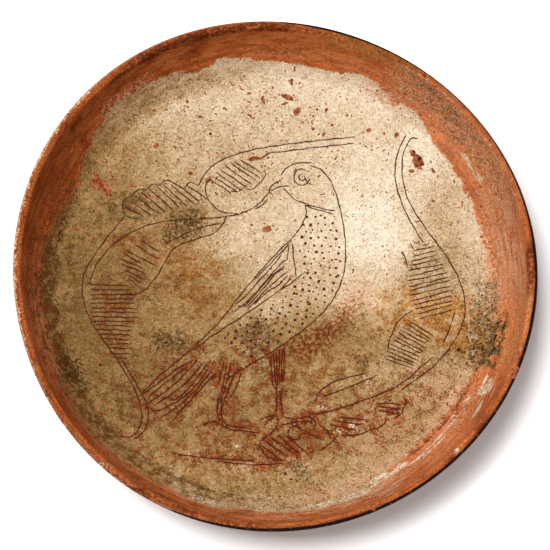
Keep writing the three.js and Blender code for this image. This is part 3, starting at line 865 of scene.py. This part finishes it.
def lower_chips(vertices):
    """Breaks the chips out of the rim and the burst out of the floor."""
    loss = np.zeros(len(vertices))
    for x, y, z, radius, depth in CHIPS:
        away = np.linalg.norm(vertices - np.array([x, y, z]), axis=1) / radius
        share = smooth_step(1, 0.35, away)
        vertices[:, 2] -= depth * share
        loss = np.maximum(loss, share)
    return loss


def floor_net(strokes, stroke_tree, dots):
    """The places on the floor that get a vertex, closest together round the cuts and flakes."""
    dot_points = [ring_points(x, y, r * share, DOT_SIDES) for x, y, r in dots for share in (0.55, DOT_EDGE)]
    flake_points = [
        ring_points(x, y, (length + width) / 2 * share, FLAKE_SIDES)
        for x, y, length, width, _ in FLAKES
        for share in (0.3, 0.7, 1.1)
    ]
    groups = [
        np.array([(x, y) for x, y, _ in dots]), *strokes.rows(), *dot_points, *flake_points,
        background_points(stroke_tree),
    ]
    return spread_out(groups, NEAREST_POINTS)


def mesh_of(vertices, faces, attributes):
    mesh = bpy.data.meshes.new("dish")
    mesh.from_pydata((vertices * MILLIMETRE).tolist(), [], faces)
    mesh.polygons.foreach_set("use_smooth", np.ones(len(mesh.polygons), bool))
    for name, values in attributes.items():
        attribute = mesh.attributes.new(name, "FLOAT", "POINT")
        attribute.data.foreach_set("value", np.asarray(values, np.float32))
    mesh.update()
    return mesh


def new_object(name, data):
    thing = bpy.data.objects.new(name, data)
    bpy.context.scene.collection.objects.link(thing)
    return thing


def build_dish():
    strokes = Strokes([
        *bird_lines(), *eye_lines(), *wing_feathers(), *tail_lines(), *leg_lines(), *foot_lines(),
        *ground_lines(), *tendril_lines(), *stem_lines(), *leaf_outlines(), *leaf_hatchings(),
    ])
    stroke_tree = tree_of(strokes.places)
    dots = belly_dots() + pin_holes()
    points = floor_net(strokes, stroke_tree, dots)

    dish = Dish()
    cone, wall = outside_profile()
    rim_first = dish.turn([
        (foot_profile() + cone, COARSE_SIDES, 0),
        (wall + lip_profile()[:4], FINE_SIDES, 0),
        (lip_profile()[4:] + inside_profile(), FINE_SIDES, 1),
    ])
    floor_first, floor_points = dish.add_floor(rim_first, points)

    vertices = np.vstack(dish.vertices)
    climb = np.concatenate(dish.climb)
    inside = np.concatenate(dish.inside)
    x, y = vertices[:, 0], vertices[:, 1]
    angle = np.arctan2(y, x)

    groove = np.zeros(len(vertices))
    distance = np.full(len(vertices), FAR_FROM_STROKES)
    groove[floor_first:], distance[floor_first:] = groove_depths(floor_points, strokes, stroke_tree, dots)

    fields = stain_fields(x, y, angle, climb)
    slip, soft_edge = slip_field(angle, climb)
    flakes = flake_field(x, y) * inside * (climb < 0)

    waves = BROAD_WAVES * ripples(x, y, 22, 21) + SMALL_WAVES * ripples(x, y, 6, 22)
    vertices[:, 2] += waves * inside * smooth_step(20, 8, climb)
    vertices[:, 2] -= groove * LINE_DEPTH
    vertices[:, 2] -= FLAKE_DEPTH * smooth_step(0.45, 0.6, flakes)
    loss = lower_chips(vertices)

    low = np.array(cad_low) / MILLIMETRE
    high = np.array(cad_high) / MILLIMETRE
    vertices = np.clip(vertices, low, high)

    on_rim_or_inside = smooth_step(52, 46, climb)
    attributes = {kind: fields[kind] * on_rim_or_inside for kind in KINDS}
    attributes |= {
        "slip": slip * inside,
        "soft_edge": soft_edge,
        "flake": flakes,
        "loss": loss,
        "groove": groove,
        "beside": np.exp(-distance / RUSTY_EDGE),
        "inside": inside,
        # the clay's tone with painted light and shade round the wall
        "tone_and_light": wall_tone_and_light(angle, climb),
        # painted shade along the lip, away from the lamp
        "edge": lip_shade_line(angle, climb),
    }
    return new_object("dish", mesh_of(vertices, dish.faces, attributes))


# The surface

# How far the pattern of the streaks changes on the way round the dish, in metres
STREAK_TURN = 0.012


def seen_as(red, green, blue):
    """The surface colour that is seen in this light as the given screen colour, from 0 to 255."""
    return (*(((value / 255 + 0.055) / 1.055) ** 2.4 / LIGHT_LEVEL for value in (red, green, blue)), 1)


PATINA = [
    (0.0, seen_as(242, 225, 198)),
    (0.25, seen_as(222, 197, 163)),
    (0.5, seen_as(198, 167, 127)),
    (0.75, seen_as(164, 127, 80)),
    (1.0, seen_as(126, 92, 48)),
]
CLAY_RED = seen_as(160, 78, 32)
CLAY_ORANGE = seen_as(190, 106, 54)
CLAY_DUSTY_AND_LIT = seen_as(176, 112, 72)
CLAY_DEEP = seen_as(104, 40, 6)
CLAY_PINK = seen_as(178, 108, 72)
CLAY_PALE = seen_as(208, 150, 112)
CLAY_BARE = seen_as(170, 104, 66)
OLIVE = seen_as(138, 108, 60)
OLIVE_DARK = seen_as(98, 72, 30)
GREY_GREEN = seen_as(116, 96, 62)
GREY_DARK = seen_as(62, 46, 24)
OCHRE = seen_as(176, 108, 46)
OCHRE_LIGHT = seen_as(210, 146, 78)
RUST = seen_as(118, 52, 14)
PINK = seen_as(214, 162, 126)
SCUFF_WHITE = seen_as(232, 214, 184)
SOOT_AND_SHADE = seen_as(34, 12, 2)
LINE_DARK = seen_as(66, 28, 6)
LINE_RUST = seen_as(70, 22, 2)
FLECK_RED = seen_as(136, 60, 34)
LIP_SHADE_DARK = seen_as(30, 10, 3)
SPECK_DARK = seen_as(88, 32, 6)
SPECK_RUST = seen_as(148, 66, 24)
PAINTED_GLINT = seen_as(240, 196, 150)
NO_TINT = (1, 1, 1, 1)
OCHRE_TINT = (0.84, 0.57, 0.27, 1)
OLIVE_TINT = (0.54, 0.52, 0.34, 1)
RUST_TINT = (0.6, 0.25, 0.1, 1)
GREY_TINT = (0.44, 0.44, 0.37, 1)
GRAIN_DARK = (0.26, 0.17, 0.09, 1)
SPECK_TINT = (0.98, 0.66, 0.44, 1)
GRAIN_LIGHT = (1.55, 1.65, 1.75, 1)


class Paint:
    """Short names for the shader nodes of one material."""

    def __init__(self, name):
        self.material = bpy.data.materials.new(name)
        self.material.use_nodes = True
        self.tree = self.material.node_tree
        self.surface = self.tree.nodes["Principled BSDF"]
        self.place = self.node("TexCoord", {})["Object"]

    def put(self, value, socket):
        """Sets a socket to a number, a colour, another node's output or a field of the mesh by its name."""
        if isinstance(value, str):
            value = self.node("Attribute", {}, attribute_name=value)["Fac"]
        if isinstance(value, bpy.types.NodeSocket):
            self.tree.links.new(value, socket)
        else:
            socket.default_value = value

    def node(self, kind, inputs, **settings):
        """The outputs of a new node."""
        node = self.tree.nodes.new("ShaderNode" + kind)
        for name, value in settings.items():
            setattr(node, name, value)
        for name, value in inputs.items():
            self.put(value, node.inputs[name])
        return node.outputs

    def calculate(self, operation, *inputs):
        return self.node("Math", dict(enumerate(inputs)), operation=operation)[0]

    def plus(self, first, second):
        return self.calculate("ADD", first, second)

    def times(self, first, second):
        return self.calculate("MULTIPLY", first, second)

    def vector(self, operation, *inputs, **named):
        return self.node("VectorMath", {**dict(enumerate(inputs)), **named}, operation=operation)["Vector"]

    def parts(self, vector):
        return self.node("SeparateXYZ", {0: vector})

    def joined(self, x, y, z=0.0):
        return self.node("CombineXYZ", {0: x, 1: y, 2: z})[0]

    def noise(self, millimetres, detail, roughness, place=None):
        """A mottle of about the given size, spread around one half."""
        place = place or self.place
        fineness = 1 / (millimetres * MILLIMETRE)
        inputs = {"Vector": place, "Scale": fineness, "Detail": detail, "Roughness": roughness}
        return self.node("TexNoise", inputs)["Fac"]

    def step(self, value, low, high, to_low=0.0, to_high=1.0):
        """A soft step between two levels of a value."""
        inputs = {"Value": value, "From Min": low, "From Max": high, "To Min": to_low, "To Max": to_high}
        return self.node("MapRange", inputs, interpolation_type="SMOOTHSTEP")["Result"]

    def mix(self, share, first, second):
        return self.node("Mix", {"Factor": share, "A": first, "B": second}, data_type="RGBA")["Result"]

    def ramp(self, value, stops):
        node = self.tree.nodes.new("ShaderNodeValToRGB")
        self.put(value, node.inputs[0])
        elements = node.color_ramp.elements
        while len(elements) < len(stops):
            elements.new(0.5)
        for element, (position, colour) in zip(elements, stops):
            element.position = position
            element.color = colour
        return node.outputs["Color"]

    def sway(self, value, mottle, swing):
        """The value moved up and down by a mottle."""
        return self.plus(value, self.step(mottle, 0.3, 0.7, -swing, swing))

    def darken(self, colour, amount):
        """The colour times a grey amount."""
        return self.vector("SCALE", colour, Scale=amount)

    def soak(self, share, colour, tint):
        """The colour times a tint, where the share says so."""
        return self.vector("MULTIPLY", colour, self.mix(share, NO_TINT, tint))

    def stain(self, kind, mottle, low, high):
        """How strongly a stain shows, broken up by a mottle so that its edges fray."""
        swing = self.step(mottle, 0.36, 0.64, 0.35, 1.5)
        return self.step(self.times(kind, swing), low, high)


def slip_surface(paint, mottles):
    """The coat, from cream to brown as it has aged and where shade is painted on it, with the stains that
    soaked into it.
    """
    coarse, middle, fine = mottles
    age_and_shade = "patina"
    for mottle, swing in ((coarse, 0.08), (middle, 0.07), (fine, 0.09)):
        age_and_shade = paint.sway(age_and_shade, mottle, swing)
    age_and_shade = paint.calculate("SUBTRACT", age_and_shade, paint.times("pale", 0.3))
    colour = paint.ramp(age_and_shade, PATINA)
    colour = paint.mix(paint.stain("pink", fine, 0.1, 1.2), colour, PINK)
    soaked = [
        ("ochre", middle, OCHRE_TINT, 0.1, 1.1),
        ("olive", middle, OLIVE_TINT, 0.1, 1.1),
        ("rust", fine, RUST_TINT, 0.15, 0.95),
        ("grey", fine, GREY_TINT, 0.15, 1.0),
    ]
    for kind, mottle, tint, low, high in soaked:
        colour = paint.soak(paint.stain(kind, mottle, low, high), colour, tint)
    colour = paint.mix(paint.stain("white", fine, 0.3, 0.8), colour, SCUFF_WHITE)
    # dark on the slip is soot, and painted shade at the left crease
    return paint.mix(paint.stain("dark", fine, 0.3, 0.9), colour, SOOT_AND_SHADE)


def wheel_streaks(paint):
    """A mottle drawn out round the dish, as the wheel leaves it: its pattern hardly turns with the angle."""
    x, y, _ = paint.parts(paint.place)
    flat = paint.joined(x, y)
    around = paint.parts(paint.vector("SCALE", paint.vector("NORMALIZE", flat), Scale=STREAK_TURN))
    radius = paint.node("VectorMath", {0: flat}, operation="LENGTH")["Value"]
    return paint.noise(1.3, 3.0, 0.6, paint.joined(around[0], around[1], radius))


def clay_surface(paint, mottles):
    """Red clay with the streaks left by the wheel, painted light and shade round the wall, a painted
    highlight on the lip at the left and painted shade along the lip.
    """
    coarse, middle, fine = mottles
    streaks = wheel_streaks(paint)
    grit = paint.noise(1.2, 3.0, 0.7)
    base = paint.mix(paint.step(streaks, 0.4, 0.62), CLAY_RED, CLAY_ORANGE)
    base = paint.mix(paint.step(coarse, 0.5, 0.72), base, CLAY_DEEP)
    bare = paint.mix(paint.step(streaks, 0.38, 0.66), CLAY_BARE, CLAY_ORANGE)
    bare = paint.mix(paint.step(coarse, 0.52, 0.74, 0.0, 0.6), bare, GREY_GREEN)
    base = paint.mix(paint.times("patina", 0.45), base, CLAY_DEEP)
    # Painted light and shade round the wall, with the clay's own tone: lighter places turn a dusty lit
    # colour and all of it is scaled by the table.
    base = paint.mix(paint.step("tone_and_light", 1.15, 1.9, 0.0, 0.42), base, CLAY_DUSTY_AND_LIT)
    base = paint.darken(paint.mix("inside", bare, base), "tone_and_light")
    pale_streaks = paint.step(paint.times("streak", streaks), 0.22, 0.42)
    base = paint.mix(pale_streaks, base, PINK)
    layers = [
        ("pink", fine, CLAY_PINK, CLAY_PALE, 0.15, 1.0),
        ("ochre", fine, OCHRE, OCHRE_LIGHT, 0.2, 1.2),
        ("olive", middle, OLIVE_DARK, OLIVE, 0.2, 1.0),
        ("rust", fine, CLAY_DEEP, RUST, 0.2, 1.0),
        ("grey", middle, GREY_GREEN, GREY_DARK, 0.2, 1.0),
        ("white", streaks, SCUFF_WHITE, PINK, 0.3, 0.9),
        # dark is soot, and painted shade on the lip and outside where they turn away from the lamp
        ("dark", fine, SOOT_AND_SHADE, CLAY_DEEP, 0.1, 1.0),
        # a painted highlight on the lip at the left, and pale specks on the upper right wall
        ("lit", grit, PAINTED_GLINT, CLAY_PALE, 0.5, 0.95),
    ]
    for kind, mottle, first, second, low, high in layers:
        shade = paint.mix(paint.step(fine, 0.45, 0.6), first, second)
        base = paint.mix(paint.stain(kind, mottle, low, high), base, shade)
    # The dark line along the lip is painted shade where the lip turns away from the lamp.
    return paint.mix(paint.step("edge", 0.25, 0.75), base, LIP_SHADE_DARK), streaks


def worn_specks(paint, colour, mottles):
    """Where the slip is rubbed thin: red-brown specks, thin wandering scratches and rusty line edges."""
    _, middle, fine = mottles
    rubbed = paint.times("worn", paint.step(middle, 0.42, 0.6))
    near_lines = paint.times("beside", "worn")
    reach = paint.plus(rubbed, paint.times(near_lines, 1.25))
    stained = paint.step(paint.times(reach, paint.step(fine, 0.35, 0.6, 0.3, 1.0)), 0.2, 1.6)
    colour = paint.soak(stained, colour, SPECK_TINT)
    shade = paint.mix(paint.step(fine, 0.42, 0.6), SPECK_DARK, SPECK_RUST)

    grit = paint.noise(1.3, 4.0, 0.75)
    specks = paint.step(paint.plus(grit, paint.times(reach, 0.13)), 0.63, 0.67)
    colour = paint.mix(specks, colour, shade)

    wander = paint.calculate("ABSOLUTE", paint.calculate("SUBTRACT", paint.noise(2.8, 3.0, 0.6), 0.5))
    scratches = paint.step(wander, 0.03, 0.012)
    patches = paint.step(paint.times(reach, paint.step(middle, 0.4, 0.56, 0.2, 1.0)), 0.24, 0.5)
    return paint.mix(paint.times(scratches, patches), colour, shade)


def grain(paint, colour, mottles):
    """Fine grain all over, brown where dark and pale where light, with dark pins and red flecks."""
    _, middle, _ = mottles
    gritty = paint.calculate("MAXIMUM", "patina", "lit")
    strength = paint.step(gritty, 0.1, 0.6, 0.45, 1.0)
    clusters = paint.times(strength, paint.step(middle, 0.4, 0.6, 0.4, 1.0))
    grit = paint.noise(0.95, 3.0, 0.82)
    for low, high, tint in ((0.47, 0.39, GRAIN_DARK), (0.54, 0.61, GRAIN_LIGHT)):
        colour = paint.soak(paint.times(clusters, paint.step(grit, low, high)), colour, tint)
    soft = paint.noise(2.4, 4.0, 0.7)
    colour = paint.darken(colour, paint.step(soft, 0.28, 0.72, 0.82, 1.16))
    thick = paint.times("grey", 0.13)
    pins = paint.step(paint.plus(paint.noise(1.3, 2.0, 0.5), thick), 0.69, 0.72)
    colour = paint.mix(pins, colour, SOOT_AND_SHADE)
    often = paint.times("flecked", 0.035)
    flecks = paint.step(paint.plus(paint.noise(2.4, 3.0, 0.6), often), 0.65, 0.67)
    return paint.mix(flecks, colour, FLECK_RED)


def line_surface(paint, fine):
    """The clay shown by the cut lines: dark in the upper half, rusty in the lower."""
    height_in_drawing = paint.parts(paint.place)[1]
    low_down = paint.step(height_in_drawing, 0.02, -0.045)
    colour = paint.mix(low_down, LINE_DARK, LINE_RUST)
    return paint.mix(paint.step(fine, 0.5, 0.64, 0.0, 0.35), colour, RUST)


def slip_cover(paint, mottles):
    """Where the slip covers the clay, with a ragged or a soft edge as the place asks."""
    _, middle, fine = mottles
    frayed = paint.sway(paint.sway("slip", fine, 0.3), middle, 0.25)
    ragged = paint.step(frayed, 0.42, 0.58)
    blended = paint.step(paint.sway("slip", fine, 0.1), 0.1, 0.9)
    softer = paint.calculate("SUBTRACT", blended, ragged)
    return paint.plus(ragged, paint.times("soft_edge", softer))


def slipped_earthenware():
    paint = Paint("slipped_earthenware")
    mottles = (paint.noise(14, 5.0, 0.62), paint.noise(5, 5.0, 0.65), paint.noise(1.8, 4.0, 0.65))
    fine = mottles[2]

    slip = slip_surface(paint, mottles)
    clay, streaks = clay_surface(paint, mottles)
    colour = grain(paint, paint.mix(slip_cover(paint, mottles), clay, slip), mottles)
    colour = worn_specks(paint, colour, mottles)

    flaked = paint.step("flake", 0.46, 0.54)
    lost = paint.step(paint.sway("loss", fine, 0.2), 0.3, 0.5)
    bare = paint.calculate("MAXIMUM", flaked, lost)
    bare_colour = paint.mix(paint.step(fine, 0.42, 0.58), RUST, CLAY_PINK)
    colour = paint.mix(bare, colour, bare_colour)

    cut = paint.step(paint.sway("groove", fine, 0.16), 0.2, 0.46)
    colour = paint.mix(cut, colour, line_surface(paint, fine))
    paint.put(colour, paint.surface.inputs["Base Color"])

    roughness = paint.step(fine, 0.3, 0.7, 0.5, 0.75)
    paint.put(roughness, paint.surface.inputs["Roughness"])
    paint.surface.inputs["Specular IOR Level"].default_value = 0.05

    relief = paint.plus(paint.noise(0.8, 4.0, 0.65), paint.times(streaks, 0.5))
    bump = paint.node("Bump", {"Strength": 0.36, "Distance": 0.00025, "Height": relief})
    paint.put(bump["Normal"], paint.surface.inputs["Normal"])
    return paint.material


def white_board():
    paint = Paint("white_board")
    paint.surface.inputs["Roughness"].default_value = 0.9
    shade = paint.mix(paint.noise(40, 2.0, 0.5), (0.92, 0.92, 0.92, 1), (0.94, 0.94, 0.94, 1))
    paint.put(shade, paint.surface.inputs["Base Color"])
    return paint.material


# The setting

def lay_floor():
    reach = 3.0
    mesh = bpy.data.meshes.new("board")
    corners = [(-reach, -reach, 0), (reach, -reach, 0), (reach, reach, 0), (-reach, reach, 0)]
    mesh.from_pydata(corners, [], [(0, 1, 2, 3)])
    mesh.materials.append(white_board())
    new_object("board", mesh)


def set_camera():
    """Looks almost straight down, as the photo does, from 13 degrees towards the near side."""
    rim_middle = Vector((0, 0, 0.046))
    lean = math.radians(13)
    distance = 1.4
    camera = new_object("camera", bpy.data.cameras.new("camera"))
    camera.location = rim_middle + distance * Vector((0, -math.sin(lean), math.cos(lean)))
    camera.rotation_euler = (lean, 0, 0)
    camera.data.lens = 178.2
    camera.data.sensor_width = 36
    camera.data.shift_x = 0.00255
    camera.data.shift_y = 0.0022
    bpy.context.scene.camera = camera


def set_light():
    """One soft lamp high up at the left and an even pale sky."""
    height, direction = math.radians(79), math.radians(178)
    distance = 2.6
    flat = math.cos(height)
    way = Vector((flat * math.cos(direction), flat * math.sin(direction), math.sin(height)))
    lamp = new_object("key", bpy.data.lights.new("key", "AREA"))
    lamp.data.shape = "RECTANGLE"
    lamp.data.size = 0.8
    lamp.data.size_y = 0.8
    lamp.data.energy = 90
    lamp.location = way * distance
    lamp.rotation_euler = way.to_track_quat("Z", "Y").to_euler()

    world = bpy.data.worlds.new("sky")
    world.use_nodes = True
    world.node_tree.nodes["Background"].inputs["Color"].default_value = (1, 1, 1, 1)
    world.node_tree.nodes["Background"].inputs["Strength"].default_value = 0.5
    bpy.context.scene.world = world


dish = build_dish()
dish.data.materials.append(slipped_earthenware())
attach(dish, "root")
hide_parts("sgraffito_dish")

lay_floor()
set_camera()
set_light()
bpy.context.scene.view_settings.view_transform = "Standard"
